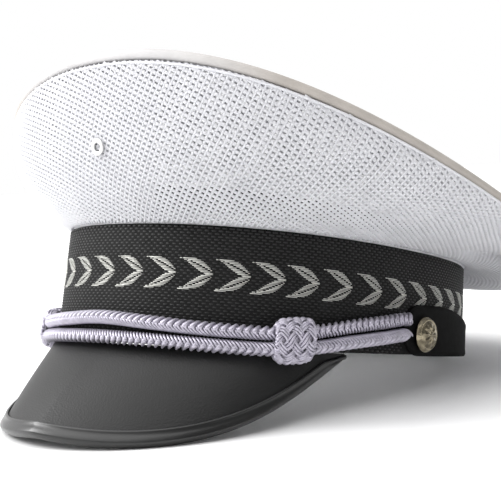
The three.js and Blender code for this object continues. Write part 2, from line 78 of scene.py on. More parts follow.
# Soft dents in the side panel: place round the band, half width, height, half height and depth, as shares
CROWN_DENTS = (
    (0.325, 0.022, 0.3, 0.22, 0.16),
    (0.39, 0.03, 0.62, 0.3, 0.12),
    (0.675, 0.022, 0.3, 0.22, 0.16),
    (0.6, 0.03, 0.62, 0.3, 0.12),
    (0.5, 0.04, 0.45, 0.3, 0.14),
)

# A short sharp fold low on each side, just behind the widest part of the band
CROWN_FOLDS = (
    (0.292, 0.018, 0.17, 0.1, 0.26),
    (0.708, 0.018, 0.17, 0.1, 0.26),
)

# Stay and eyelet
STAY_WIDTH = 40.0
STAY_WALL = 0.8
STAY_START = 0.09
STAY_END = 0.93
EYELET_RISE = 29.0
EYELET_RADIUS = 3.5
EYELET_HOLE = 1.7

# Peak and binding
PEAK_REACH = 49.2
PEAK_TIP_REACH = 1.0
PEAK_FULLNESS = 1.02
PEAK_HALF_SPAN = 103.5
PEAK_SLOPE_FRONT = 47.5
PEAK_SLOPE_GAIN = 41.0
PEAK_SLOPE_SPREAD = 1.25
PEAK_CAMBER = 1.2
PEAK_WALL = 2.2
BINDING_WIDTH = 5.0
BINDING_WALL = 0.8
BINDING_TAPER = 0.6

# Strap, buttons, cords and knots
STRAP_WALL = 1.4
STRAP_END_HEIGHT = 21.6
STRAP_BACK_HEIGHT = 14.0
BUTTON_DISTANCE = 149.0
BUTTON_RADIUS = 7.5
BUTTON_DOME = 2.9
BUTTON_EDGE = 1.0
STRAP_END = BUTTON_DISTANCE - 2.5
STRAP_TAPER_START = BUTTON_DISTANCE + 11.0
STRAP_TAPER_END = STRAP_TAPER_START + 65.0
STRAP_DROP = 0.5
BUTTON_HEIGHT = 13.4
CORD_RADIUS = 3.2
CORD_ALONG = (0, 0.18, 0.33, 0.45, 0.53, 0.66, 0.77, 0.89, 1)
CORD_UPPER = (0.21, 0.185, 0.165, 0.163, 0.172, 0.218, 0.285, 0.347, 0.4)
CORD_LOWER = (0.034, 0.028, 0.022, 0.02, 0.03, 0.075, 0.14, 0.2, 0.252)
KNOT_PLACE = 0.578
KNOT_HALF_LENGTH = 7.3
KNOT_HALF_HEIGHT = 9.3
KNOT_BARREL = 0.2
KNOT_BACK_WALL = 1.4
KNOT_FRONT_WALL = 2.6
KNOT_LEAD_START = 0.5
KNOT_LEAD_LENGTH = 7.0


# The cap's own frame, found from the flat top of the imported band

def find_cap_frame():
    band = nodes["hat_band"]
    spots = np.empty(len(band.data.vertices) * 3)
    band.data.vertices.foreach_get("co", spots)
    spots = spots.reshape(-1, 3)
    middle = spots[np.abs(spots[:, 0]) < 1e-5]
    front = middle[np.argmax(middle[:, 2])]
    rear = middle[middle[:, 1] > 0]
    back = rear[np.argmax(rear[:, 2])]
    tilt = math.atan2(front[2] - back[2], back[1] - front[1])
    turn = Matrix.Rotation(-tilt, 4, "X")
    own = turn @ Vector((0, -(BAND_FRONT_REACH - BAND_TOP_INSET) * MM, BAND_HEIGHT * MM))
    return Matrix.Translation(Vector(front) - own) @ turn


CAP = find_cap_frame()
CAP_ROWS = np.array(CAP)


def to_frame(points):
    return (np.asarray(points) * MM) @ CAP_ROWS[:3, :3].T + CAP_ROWS[:3, 3]


# Ovals and places on the cap, for whole arrays of turns

def unit(vectors):
    return vectors / np.maximum(np.linalg.norm(vectors, axis=-1, keepdims=True), 1e-9)


def eased(share):
    share = np.clip(share, 0, 1)
    return share * share * (3 - 2 * share)


def bent(value, roundness):
    return np.sign(value) * np.abs(value) ** roundness


class Oval:
    def __init__(self, half_width, front_reach, back_reach, roundness):
        self.half_width = half_width
        self.front_reach = front_reach
        self.back_reach = back_reach
        self.roundness = roundness
        self.turns = np.linspace(0, 1, 2881)
        spots = self.point(self.turns)
        steps = np.linalg.norm(np.diff(spots, axis=0), axis=1)
        self.run = np.concatenate([[0], np.cumsum(steps)])
        self.length = self.run[-1]

    def point(self, turn):
        turn = np.asarray(turn, float)
        across = np.sin(2 * np.pi * turn)
        ahead = np.cos(2 * np.pi * turn)
        reach = np.where(ahead > 0, self.front_reach, self.back_reach)
        x = self.half_width * bent(across, self.roundness)
        y = -reach * bent(ahead, self.roundness)
        return np.stack([x, y, np.zeros_like(x)], axis=-1)

    def outward(self, turn):
        turn = np.asarray(turn, float)
        along = unit(self.point(turn + 0.002) - self.point(turn - 0.002))
        return np.stack([along[..., 1], -along[..., 0], np.zeros_like(along[..., 0])], axis=-1)


BAND = Oval(BAND_HALF_WIDTH, BAND_FRONT_REACH, BAND_BACK_REACH, BAND_ROUNDNESS)
RIM = Oval(RIM_HALF_WIDTH, RIM_FRONT_REACH, RIM_BACK_REACH, RIM_ROUNDNESS)


def turn_at(distance):
    return np.interp(np.mod(distance, BAND.length), BAND.run, BAND.turns)


def band_bottom_at(turn):
    y = BAND.point(turn)[..., 1]
    return BAND_BACK_RISE * (y + BAND_FRONT_REACH) / (BAND_FRONT_REACH + BAND_BACK_REACH)


def band_place(turn, height, out):
    turn, height, out = np.broadcast_arrays(*(np.asarray(v, float) for v in (turn, height, out)))
    lean = -BAND_TOP_INSET * height / BAND_HEIGHT
    spot = BAND.point(turn) + BAND.outward(turn) * (out + lean)[..., None]
    spot[..., 2] = height
    return spot


def rim_height(turn):
    ahead = np.cos(2 * np.pi * turn)
    return BAND_HEIGHT + RIM_RISE_SIDE + RIM_SLOPE * ahead + RIM_SADDLE * ahead ** 2


def rim_place(turn, inset, height):
    spot = RIM.point(turn) - RIM.outward(turn) * np.asarray(inset, float)[..., None]
    spot[..., 2] = height
    return spot


def panel_curve(turn, share):
    foot = band_place(turn, BAND_HEIGHT, -CROWN_INSET)
    foot[..., 2] = BAND_HEIGHT + GAP
    head = rim_place(turn, np.zeros_like(turn), rim_height(turn) - 2 * ROLL_RADIUS - GAP)
    ahead = np.cos(2 * np.pi * turn)
    end = np.where(ahead > 0, BELLY_DROP_FRONT, BELLY_DROP_BACK)
    drop = BELLY_DROP_SIDE + (end - BELLY_DROP_SIDE) * ahead ** 2
    elbow = head.copy()
    elbow[..., 2] -= drop
    t = share[..., None]
    return foot * (1 - t) ** 2 + elbow * (2 * t * (1 - t)) + head * t ** 2


def panel_outward(turn, share):
    step = 0.004
    low = np.maximum(share - step, 0)
    high = np.minimum(share + step, 1)
    round_way = panel_curve(turn + step, share) - panel_curve(turn - step, share)
    rise = panel_curve(turn, high) - panel_curve(turn, low)
    return unit(np.cross(round_way, rise))


def dent_depth(turn, share):
    around = np.mod(turn, 1)
    depth = np.zeros_like(around)
    for place, spread, height, reach, deep in CROWN_DENTS + CROWN_FOLDS:
        aside = (around - place) / spread
        above = (share - height) / reach
        depth += deep * RIM_RISE_SIDE * np.exp(-aside ** 2 - above ** 2)
    return depth * np.minimum(1, np.minimum(6 * share, 6 * (1 - share)))


def panel_place(turn, share, depth):
    turn, share, depth = np.broadcast_arrays(*(np.asarray(v, float) for v in (turn, share, depth)))
    inward = dent_depth(turn, share) + depth
    return panel_curve(turn, share) - panel_outward(turn, share) * inward[..., None]


# Mesh building from arrays

def add_object(name, data):
    added = bpy.data.objects.new(name, data)
    bpy.context.scene.collection.objects.link(added)
    return added


def make_object(name, points, faces):
    mesh = bpy.data.meshes.new(name)
    points = np.asarray(points, float)
    faces = [np.asarray(block, int) for block in faces]
    counts = np.concatenate([np.full(len(block), block.shape[1]) for block in faces])
    loops = np.concatenate([block.ravel() for block in faces])
    mesh.vertices.add(len(points))
    mesh.vertices.foreach_set("co", to_frame(points).ravel())
    mesh.loops.add(len(loops))
    mesh.loops.foreach_set("vertex_index", loops)
    mesh.polygons.add(len(counts))
    starts = np.concatenate([[0], np.cumsum(counts)[:-1]])
    mesh.polygons.foreach_set("loop_start", starts)
    mesh.polygons.foreach_set("loop_total", counts)
    mesh.polygons.foreach_set("use_smooth", np.full(len(counts), True))
    mesh.update(calc_edges=True)
    mesh.validate()
    return add_object(name, mesh)


def quads_between(here, there, side, sides):
    beside = (side + 1) % sides
    return np.stack([here + side, here + beside, there + beside, there + side], axis=-1).reshape(-1, 4)


def ring_quads(rows, sides):
    """Faces of a grid of points whose rows close on themselves"""
    row, side = np.meshgrid(np.arange(rows - 1), np.arange(sides), indexing="ij")
    return quads_between(row * sides, (row + 1) * sides, side, sides)


class Bundle:
    """Points and faces of many small parts, joined into one mesh"""

    def __init__(self):
        self.points = []
        self.faces = {}
        self.count = 0

    def add(self, points, faces):
        self.points.append(points)
        for block in faces:
            self.faces.setdefault(block.shape[1], []).append(block + self.count)
        self.count += len(points)

    def piece(self, name):
        blocks = [np.concatenate(rows) for rows in self.faces.values()]
        return make_object(name, np.concatenate(self.points), blocks)


def tubes(paths, faces_out, wide, thick, sides, closed=False):
    """Tubes along many paths at once: paths and outward directions are (tube, station, 3)"""
    count, stations, _ = paths.shape
    if closed:
        along = np.roll(paths, -1, axis=1) - np.roll(paths, 1, axis=1)
    else:
        along = np.gradient(paths, axis=1)
    along = unit(along)
    out = unit(faces_out - along * np.sum(faces_out * along, axis=-1, keepdims=True))
    aside = np.cross(along, out)
    angles = 2 * np.pi * (np.arange(sides) + 0.5) / sides
    wide = np.broadcast_to(wide, (count, stations))[..., None, None]
    thick = np.broadcast_to(thick, (count, stations))[..., None, None]
    ring = (aside[:, :, None] * np.cos(angles)[:, None] * wide
            + out[:, :, None] * np.sin(angles)[:, None] * thick)
    points = (paths[:, :, None] + ring).reshape(-1, 3)
    spans = stations if closed else stations - 1
    tube, station, side = np.meshgrid(np.arange(count), np.arange(spans), np.arange(sides), indexing="ij")
    here = (tube * stations + station) * sides
    there = (tube * stations + (station + 1) % stations) * sides
    blocks = [quads_between(here, there, side, sides)]
    if not closed:
        first = np.arange(count)[:, None] * stations * sides
        last = first + (stations - 1) * sides
        turn = np.arange(sides)[None]
        blocks.append(first + turn[:, ::-1])
        blocks.append(last + turn)
    return points, blocks


def sheet_between(outer, inner, closed):
    """Closed wall between two grids (row, column, 3)"""
    rows, columns, _ = outer.shape
    points = np.concatenate([outer.reshape(-1, 3), inner.reshape(-1, 3)])
    half = rows * columns
    spans = columns if closed else columns - 1
    row, column = np.meshgrid(np.arange(rows - 1), np.arange(spans), indexing="ij")
    row, column = row.ravel(), column.ravel()
    beside = (column + 1) % columns
    a, b = row * columns + column, row * columns + beside
    c, d = (row + 1) * columns + beside, (row + 1) * columns + column
    quads = [np.stack([a, b, c, d], 1), np.stack([b, a, d, c], 1) + half]
    edge = np.arange(spans)
    beside = (edge + 1) % columns
    last = (rows - 1) * columns
    quads.append(np.stack([beside, edge, edge + half, beside + half], 1))
    quads.append(np.stack([last + edge, last + beside, last + beside + half, last + edge + half], 1))
    if not closed:
        rise = np.arange(rows - 1)
        here, there = rise * columns, (rise + 1) * columns
        quads.append(np.stack([here, there, there + half, here + half], 1))
        here, there = here + columns - 1, there + columns - 1
        quads.append(np.stack([there, here, here + half, there + half], 1))
    return points, [np.concatenate(quads)]


# Crown: an open warp-knit mesh of thick wales with thin slanting threads between them

MESH_PITCH = 2.12
TOP_PITCH = 2.54
WALE_COUNT = 300
WALE_HALF_WIDTH = 0.62
WALE_HALF_THICK = 0.36
LINK_HALF_WIDTH = 0.95
LINK_HALF_THICK = 0.28

# Lean of the wales from upright, in degrees, by distance round the band from the front
WALE_LEANS = (
    (-288.2, 0.0), (-190.0, 6.0), (-60.0, 18.0), (0.0, 20.0), (35.0, 15.0),
    (60.0, 9.0), (100.0, 3.5), (150.0, -3.0), (215.0, -7.0), (288.2, 0.0),
)
PATH_SAMPLES = 61


def links_between(starts, ends, facing, bow):
    """Short threads with three stations each, bowed a little outward"""
    middle = (starts + ends) / 2 + facing * bow
    paths = np.stack([starts, middle, ends], axis=1)
    outs = np.repeat(facing[:, None], 3, axis=1)
    return tubes(paths, outs, LINK_HALF_WIDTH, LINK_HALF_THICK, 4)


def grouped_tubes(bundle, paths, outs, sides):
    """Wales of many lengths: those with the same number of stations are made together"""
    for count in sorted({len(path) for path in paths}):
        chosen = [index for index, path in enumerate(paths) if len(path) == count]
        line = np.stack([paths[index] for index in chosen])
        facing = np.stack([outs[index] for index in chosen])
        pulse = 1 + 0.14 * np.cos(np.pi * np.arange(count))
        bundle.add(*tubes(line, facing, WALE_HALF_WIDTH * pulse, WALE_HALF_THICK * pulse, sides))


def make_side_mesh():
    shares = np.linspace(0.004, 0.996, PATH_SAMPLES)
    half = BAND.length / 2
    wales = []
    for index in range(WALE_COUNT):
        distance = index * BAND.length / WALE_COUNT
        signed = distance if distance < half else distance - BAND.length
        lean = math.tan(math.radians(np.interp(signed, *np.transpose(WALE_LEANS))))
        rough = panel_place(np.full(2, turn_at(distance)), np.array([0.0, 1.0]), 0)
        tall = np.linalg.norm(rough[1] - rough[0])
        turns = turn_at(distance + lean * tall * (shares - 0.5))
        turns = np.unwrap(turns * 2 * np.pi) / (2 * np.pi)
        spots = panel_place(turns, shares, CROWN_WALL / 2)
        run = np.concatenate([[0], np.cumsum(np.linalg.norm(np.diff(spots, axis=0), axis=1))])
        wales.append((run, spots, panel_outward(turns, shares)))

    def at(wale, reach):
        run, spots, facing = wales[wale % WALE_COUNT]
        pick = lambda rows: np.stack([np.interp(reach, run, rows[:, k]) for k in range(3)], axis=-1)
        return pick(spots), pick(facing)

    paths, outs, starts, ends, facings = [], [], [], [], []
    for index in range(WALE_COUNT):
        length = wales[index][0][-1]
        steps = int(length / (MESH_PITCH / 2))
        spots, facing = at(index, np.linspace(0, length, steps + 1))
        paths.append(spots)
        outs.append(facing)
        beyond = wales[(index + 1) % WALE_COUNT][0][-1]
        phase = MESH_PITCH / 2 * (index % 2)
        rows = np.arange(int(length / MESH_PITCH) + 1) * MESH_PITCH + phase
        rows = rows[(rows < length) & (rows - MESH_PITCH / 2 > 0) & (rows - MESH_PITCH / 2 < beyond)]
        here, face = at(index, rows)
        there, _ = at(index + 1, rows - MESH_PITCH / 2)
        starts.append(here)
        ends.append(there)
        facings.append(face)
    bundle = Bundle()
    grouped_tubes(bundle, paths, outs, 5)
    links = links_between(np.concatenate(starts), np.concatenate(ends), np.concatenate(facings), LINK_BOW)
    return bundle.piece("crown_side_wales"), make_object("crown_side_links", *links)


TOP_INSET = 2 * ROLL_RADIUS + GAP
TOP_HALF_WIDTH = RIM_HALF_WIDTH - TOP_INSET
TOP_FRONT = RIM_FRONT_REACH - TOP_INSET
TOP_BACK = RIM_BACK_REACH - TOP_INSET
TOP_MIDDLE = BAND_HEIGHT + RIM_RISE_SIDE + RIM_SADDLE / 2 - ROLL_RADIUS


def top_share(x, y):
    reach = np.where(y < 0, TOP_FRONT, TOP_BACK)
    power = 2 / RIM_ROUNDNESS
    return (np.abs(x / TOP_HALF_WIDTH) ** power + np.abs(y / reach) ** power) ** (1 / power)


def top_height(x, y):
    reach = np.where(y < 0, TOP_FRONT, TOP_BACK)
    across = bent(x / TOP_HALF_WIDTH, 1 / RIM_ROUNDNESS)
    ahead = bent(-y / reach, 1 / RIM_ROUNDNESS)
    angle = np.arctan2(across, ahead)
    share = top_share(x, y)
    tilt = RIM_SLOPE * share * np.cos(angle) + RIM_SADDLE / 2 * share ** 2 * np.cos(2 * angle)
    return TOP_MIDDLE + tilt + TOP_DOME * (1 - share ** 2)


# The top's threads end in a sewn edge beside the piping
THREADS_END = 0.992
LINK_BOW = 0.08
EDGE_STEPS = 360
EDGE_SIDES = 8
EDGE_SHARE = 0.989
EDGE_HALF_WIDTH = 1.3
EDGE_HALF_THICK = 0.5


def make_top_mesh():
    count = int(TOP_HALF_WIDTH * 2 / TOP_PITCH)
    columns = (np.arange(count) - (count - 1) / 2) * TOP_PITCH
    rows = np.arange(-130, 150) * TOP_PITCH / 2
    paths, outs, starts, ends = [], [], [], []

    def place(x, y):
        return np.stack([x, y, top_height(x, y)], axis=-1)

    for index, x in enumerate(columns):
        inside = rows[top_share(np.full(len(rows), x), rows) < THREADS_END]
        if len(inside) < 3:
            continue
        paths.append(place(np.full(len(inside), x), inside))
        outs.append(np.broadcast_to(UPRIGHT, (len(inside), 3)))
        own = inside[np.mod(np.rint(inside / (TOP_PITCH / 2)) + index, 2) == 0]
        beside = np.full(len(own), x + TOP_PITCH)
        kept = top_share(beside, own - TOP_PITCH / 2) < THREADS_END
        starts.append(place(np.full(kept.sum(), x), own[kept]))
        ends.append(place(beside[kept], own[kept] - TOP_PITCH / 2))
    bundle = Bundle()
    grouped_tubes(bundle, paths, outs, 4)
    ring = np.arange(EDGE_STEPS) * 2 * np.pi / EDGE_STEPS
    reach = EDGE_SHARE / top_share(np.cos(ring), np.sin(ring))
    edge = place(reach * np.cos(ring), reach * np.sin(ring))[None]
    facing = np.broadcast_to(UPRIGHT, edge.shape)
    bundle.add(*tubes(edge, facing, EDGE_HALF_WIDTH, EDGE_HALF_THICK, EDGE_SIDES, closed=True))
    wale_piece = bundle.piece("crown_top_wales")
    starts, ends = np.concatenate(starts), np.concatenate(ends)
    links = links_between(starts, ends, np.broadcast_to(UPRIGHT, starts.shape), LINK_BOW)
    return wale_piece, make_object("crown_top_links", *links)


ROLL_STEPS = 360
ROLL_SIDES = 14
SEAM_RADIUS = 0.6
SEAM_SIDES = 8
SEAM_SHARE = 0.985
rim_turns = np.interp(np.arange(ROLL_STEPS) / ROLL_STEPS * RIM.length, RIM.run, RIM.turns)


def make_roll():
    path = rim_place(rim_turns, np.full(ROLL_STEPS, ROLL_RADIUS), rim_height(rim_turns) - ROLL_RADIUS)
    outs = RIM.outward(rim_turns)
    ring = tubes(path[None], outs[None], ROLL_RADIUS, ROLL_RADIUS, ROLL_SIDES, closed=True)
    return make_object("rim_piping", *ring)


def make_rim_seam():
    """Narrow felled seam between the side panel and the piping"""
    path = panel_place(rim_turns, SEAM_SHARE, CROWN_WALL / 2)
    outs = panel_outward(rim_turns, np.full(ROLL_STEPS, SEAM_SHARE))
    ring = tubes(path[None], outs[None], SEAM_RADIUS, SEAM_RADIUS, SEAM_SIDES, closed=True)
    return make_object("rim_seam", *ring)


# Front stay, band, strap, peak and binding as smooth walls

def make_stay():
    distances = np.linspace(-STAY_WIDTH / 2, STAY_WIDTH / 2, 33)
    turns = turn_at(distances)
    turns = np.where(turns > 0.5, turns - 1, turns)
    shares = np.linspace(STAY_START, STAY_END, 41)[:, None]
    outer = panel_place(turns, shares, CROWN_WALL + GAP)
    inner = panel_place(turns, shares, CROWN_WALL + GAP + STAY_WALL)
    return make_object("stay_panel", *sheet_between(outer, inner, False))


RING_STEPS = 480
ring_turns = turn_at(np.arange(RING_STEPS) * BAND.length / RING_STEPS)
BAND_RELIEF = 0.25
THREAD_ROOT = -BAND_RELIEF - 0.2
LEAF_LIFT = 0.12


def make_band_ground():
    levels = np.linspace(0, 1, 25)[:, None]
    bottom = band_bottom_at(ring_turns)
    heights = bottom + (BAND_HEIGHT - bottom) * levels
    round_off = 0.35 * np.exp(-levels * 30) + 0.35 * np.exp(-(1 - levels) * 30)
    outer = band_place(ring_turns, heights, -BAND_RELIEF - round_off)
    inner = band_place(ring_turns, heights, -BAND_WALL)
    return make_object("band_ground", *sheet_between(outer, inner, True))


def strap_height_at(distance):
    share = eased((distance - STRAP_TAPER_START) / (STRAP_TAPER_END - STRAP_TAPER_START))
    return STRAP_END_HEIGHT + (STRAP_BACK_HEIGHT - STRAP_END_HEIGHT) * share


STRAP_START = STRAP_END - STRAP_END_HEIGHT / 2


def strap_edges(distance):
    """Lower and upper edge of the strap, nothing high in front of its round end"""
    from_front = np.minimum(distance, BAND.length - distance)
    half = strap_height_at(from_front) / 2
    middle = band_bottom_at(turn_at(distance)) - STRAP_DROP + half
    short = np.clip((STRAP_END - from_front) / (STRAP_END_HEIGHT / 2), 0, 1)
    half = half * np.sqrt(1 - short ** 2)
    return middle - half, middle + half


def make_strap():
    start = STRAP_END - STRAP_END_HEIGHT / 2 * np.cos(np.linspace(0.04, np.pi / 2, 13))
    body = np.linspace(STRAP_END, BAND.length / 2, 161)[1:]
    left = np.concatenate([start, body])
    distances = np.concatenate([left, (BAND.length - left[:-1])[::-1]])
    low, high = strap_edges(distances)
    levels = np.linspace(0, 1, 15)[:, None]
    heights = low + (high - low) * levels
    edge = np.minimum(levels, 1 - levels)
    welt = 0.28 * np.exp(-((edge - 0.1) / 0.05) ** 2) - 0.3 * np.exp(-edge * 40)
    turns = turn_at(distances)
    outer = band_place(turns, heights, GAP + STRAP_WALL - 0.15 + welt)
    inner = band_place(turns, heights, GAP)
    return make_object("strap_cloth", *sheet_between(outer, inner, False))


def peak_frame(span):
    distance = span * PEAK_HALF_SPAN
    turn = turn_at(distance)
    slope = np.radians(PEAK_SLOPE_FRONT + PEAK_SLOPE_GAIN * np.abs(span) ** PEAK_SLOPE_SPREAD)[..., None]
    outward = BAND.outward(turn)
    root = band_place(turn, band_bottom_at(turn) - GAP, 0)
    down = outward * np.cos(slope) - UPRIGHT * np.sin(slope)
    face = outward * np.sin(slope) + UPRIGHT * np.cos(slope)
    fullness = np.maximum(np.cos(span * np.pi / 2), 0) ** PEAK_FULLNESS
    return root, down, face, PEAK_TIP_REACH + (PEAK_REACH - PEAK_TIP_REACH) * fullness


def peak_place(span, fall, depth):
    root, down, face, reach = peak_frame(span)
    camber = PEAK_CAMBER * np.sin(np.pi * fall) * reach / PEAK_REACH
    return root + down * (reach * fall)[..., None] + face * (camber - depth)[..., None]


PEAK_STEPS = 180
PEAK_ROWS = 33
peak_spans = np.linspace(-1, 1, PEAK_STEPS + 1)


def make_peak():
    falls = np.linspace(0, 1, PEAK_ROWS)[:, None]
    outer = peak_place(peak_spans, falls, 0)
    inner = peak_place(peak_spans, falls, PEAK_WALL)
    return make_object("peak_leather", *sheet_between(outer, inner, False))


def make_binding():
    root, down, face, reach = peak_frame(peak_spans)
    edge = peak_place(peak_spans, 1, PEAK_WALL / 2)
    near = peak_place(peak_spans, 0.96, PEAK_WALL / 2)
    along = unit(edge - near)
    across = unit(face - along * np.sum(face * along, axis=-1, keepdims=True))
    width = np.minimum(BINDING_WIDTH, BINDING_TAPER * reach)
    slot = PEAK_WALL / 2 + GAP
    thick = slot + BINDING_WALL
    lip = GAP + BINDING_WALL
    profile = [(-1, slot, 0), (-1, thick - 0.25, 0), (-1, thick + 0.1, 0.35), (-1, thick + 0.22, 0.8),
               (-1, thick + 0.1, 1.25), (-1, thick - 0.12, 1.7), (-0.4, thick + 0.02, 0)]
    bend = [(0, math.cos(a) * thick, math.sin(a) * lip) for a in np.linspace(0, np.pi, 9)]
    below = [(-1, -thick, 0), (-1, -slot, 0), (0, -slot, GAP), (0, slot, GAP)]
    sections = []
    for share, high, shift in profile + bend + below:
        sections.append(edge + along * (width * share + shift)[:, None] + across * high)
    ring = np.stack(sections, axis=1)
    stations, sides, _ = ring.shape
    ends = np.stack([np.arange(sides)[::-1], (stations - 1) * sides + np.arange(sides)])
    return make_object("peak_edge_binding", ring.reshape(-1, 3), [ring_quads(stations, sides), ends])


# Woven relief on the band: floats of thread along it, and the leaf chevrons

def floats(start, end, height, half_height, low_out, high_out):
    """Short raised threads along the band, each a closed block with a narrower top"""
    nose = np.minimum(0.3, 0.4 * (end - start))
    corners = [(start, -1, low_out), (end, -1, low_out), (end, 1, low_out), (start, 1, low_out),
               (start + nose, -0.5, high_out), (end - nose, -0.5, high_out),
               (end - nose, 0.5, high_out), (start + nose, 0.5, high_out)]
    spots = [band_place(turn_at(s), height + side * half_height, out) for s, side, out in corners]
    points = np.stack(spots, axis=1).reshape(-1, 3)
    block = np.array([(4, 5, 6, 7), (0, 1, 5, 4), (1, 2, 6, 5), (2, 3, 7, 6), (3, 0, 4, 7), (3, 2, 1, 0)])
    quads = (np.arange(len(start))[:, None, None] * 8 + block).reshape(-1, 4)
    return points, [quads]


CHEVRONS = 38
CHEVRON_START = 1.2
SHIFT_PLACE = 97.0
SHIFT_SPREAD = 27.0
SHIFT_DEPTH = 2.4
CHEVRON_PITCH = BAND.length / CHEVRONS
VERTEX_HEIGHT = BAND_HEIGHT - 19.0
LEAF_LENGTH = 15.1
LEAF_RISE = 6.0
LEAF_FALL = 6.3
LEAF_WIDTH = 2.3
LEAF_TAIL = 0.42
LEAF_TAIL_START = 0.68
MIDRIB_GAP = 0.2
THREAD_PITCH = 0.56
THREAD_SHARE = 0.41


def chevron_shift(distance):
    """The ribbon is drawn a little towards the front where it turns from the front to the sides"""
    signed = np.mod(distance + BAND.length / 2, BAND.length) - BAND.length / 2
    away = (np.abs(signed) - SHIFT_PLACE) / SHIFT_SPREAD
    return -np.sign(signed) * SHIFT_DEPTH * np.exp(-away ** 2)


def leaf_rib(back, rise):
    """Height of the midrib over the vertex, at a share of the leaf's length behind it"""
    return rise * (1 - (1 - back) ** 1.35)


def leaf_half_width(back):
    back = np.clip(back, 0, 1)
    blade = np.sin(np.pi * np.minimum(back / 0.84, 1) ** 0.93) ** 1.1
    return LEAF_WIDTH * np.maximum(blade, 0) + LEAF_TAIL * np.clip((back - 0.55) / 0.2, 0, 1)


def in_leaf(distance, height):
    behind = np.mod(CHEVRON_START - distance + chevron_shift(distance), CHEVRON_PITCH)
    inside = np.zeros(np.shape(behind), bool)
    for extra in (0, CHEVRON_PITCH):
        back = (behind + extra) / LEAF_LENGTH
        for side, rise in ((1, LEAF_RISE), (-1, LEAF_FALL)):
            over = (height - VERTEX_HEIGHT) * side
            off = np.abs(over - leaf_rib(np.clip(back, 0, 1), rise))
            inside |= (back < 1) & (off < leaf_half_width(back) + 0.35)
    return inside


def under_strap(distance, height):
    distance = np.mod(distance, BAND.length)
    from_front = np.minimum(distance, BAND.length - distance)
    _, high = strap_edges(distance)
    return (from_front > STRAP_START + 1) & (height < high - 0.6)


DASH_PITCH = 2.9
DASH_ROW = 1.15
DASH_LENGTH = 2.05
DASH_HALF_HEIGHT = 0.36


def make_weave():
    count = int(BAND.length / DASH_PITCH)
    pitch = BAND.length / count
    bundle = Bundle()
    rows = int(BAND_HEIGHT / DASH_ROW)
    for row in range(rows):
        height = BAND_HEIGHT - 0.8 - row * DASH_ROW
        place = np.arange(count) * pitch + (row % 2) * pitch / 2
        height = np.full(count, height)
        bottom = band_bottom_at(turn_at(place))
        kept = (height > bottom + 0.7) & ~in_leaf(place, height) & ~under_strap(place, height)
        place, height = place[kept], height[kept]
        if not len(place):
            continue
        half = DASH_LENGTH / 2 * rng.uniform(0.88, 1.08, len(place))
        lift = rng.uniform(-0.05, 0.03, len(place))
        bundle.add(*floats(place - half, place + half, height, DASH_HALF_HEIGHT,
                           THREAD_ROOT, lift - 0.02))
    return bundle.piece("band_weave")


def make_leaves():
    backs = np.linspace(0, 1, 293)
    bundle = Bundle()
    for side, rise in ((1, LEAF_RISE), (-1, LEAF_FALL)):
        rib = leaf_rib(backs, rise)
        wide = leaf_half_width(backs)
        split = np.where(backs < LEAF_TAIL_START, MIDRIB_GAP, 0)
        tallest = rise + LEAF_WIDTH
        for row in range(int(tallest / THREAD_PITCH) + 1):
            over = (row + 0.35) * THREAD_PITCH
            for low, high in ((rib - wide, rib - split), (rib + split, rib + wide)):
                inside = (over > low) & (over < high) & (over > 0)
                if inside.sum() < 12:
                    continue
                near, far = backs[inside][0] * LEAF_LENGTH, backs[inside][-1] * LEAF_LENGTH
                vertex = CHEVRON_START + np.arange(CHEVRONS) * CHEVRON_PITCH
                vertex = vertex + chevron_shift(vertex)
                jitter = rng.uniform(-0.12, 0.12, (2, CHEVRONS))
                start, end = vertex - far + jitter[0], vertex - near + jitter[1]
                height = np.full(CHEVRONS, VERTEX_HEIGHT + side * over)
                kept = ~under_strap((start + end) / 2, height)
                bundle.add(*floats(start[kept], end[kept], height[kept], THREAD_PITCH * THREAD_SHARE,
                                   THREAD_ROOT, LEAF_LIFT))
    return bundle.piece("band_leaves")


# Cords: a row of fat loops on one side and of fine strands on the other

CORD_END = STRAP_START - GAP
KNOT_OUT = GAP + KNOT_BACK_WALL + GAP + CORD_RADIUS
CORD_OUT = GAP + CORD_RADIUS
KNOT_DISTANCE = KNOT_PLACE * CORD_END
STITCH_PITCH = 2.8
LOOP_RADIUS = 1.28
LOOP_SLANT = 3.0
LOOP_THINNING = 0.5
STRAND_RADIUS = 0.5
STRAND_SLANT = 4.0
STRANDS = 2
CORE_SHARE = 0.46


def cord_height(distance, rows):
    along = np.array(CORD_ALONG)
    marks = np.concatenate([-along[:0:-1], along])
    values = np.concatenate([np.array(rows)[:0:-1], rows])
    share = np.clip(np.asarray(distance, float) / CORD_END, -1, 1)
    index = np.clip(np.searchsorted(marks, share), 1, len(marks) - 1)
    pick = lambda step: values[np.clip(index + step, 0, len(marks) - 1)]
    t = (share - marks[index - 1]) / (marks[index] - marks[index - 1])
    a, b, c, d = pick(-2), pick(-1), pick(0), pick(1)
    return BAND_HEIGHT * (b + 0.5 * t * (c - a + t * (2 * a - 5 * b + 4 * c - d + t * (3 * (b - c) + d - a))))


def cord_out(distance):
    off = np.abs(np.abs(distance) - KNOT_DISTANCE) - KNOT_HALF_LENGTH
    away = eased((off - KNOT_LEAD_START) / (KNOT_LEAD_LENGTH - KNOT_LEAD_START))
    return CORD_OUT + (KNOT_OUT - CORD_OUT) * (1 - away)


def around_cord(distance, angle, radius, rows):
    height = cord_height(distance, rows) + radius * np.sin(angle)
    return band_place(turn_at(distance), height, cord_out(distance) + radius * np.cos(angle))


def strap_edge_reach(height):
    """How far a cord runs at this height before it meets the round end of the strap"""
    radius = STRAP_END_HEIGHT / 2
    middle = band_bottom_at(turn_at(CORD_END)) - STRAP_DROP + radius
    return STRAP_END - GAP - np.sqrt(np.maximum(radius ** 2 - (height - middle) ** 2, 0))


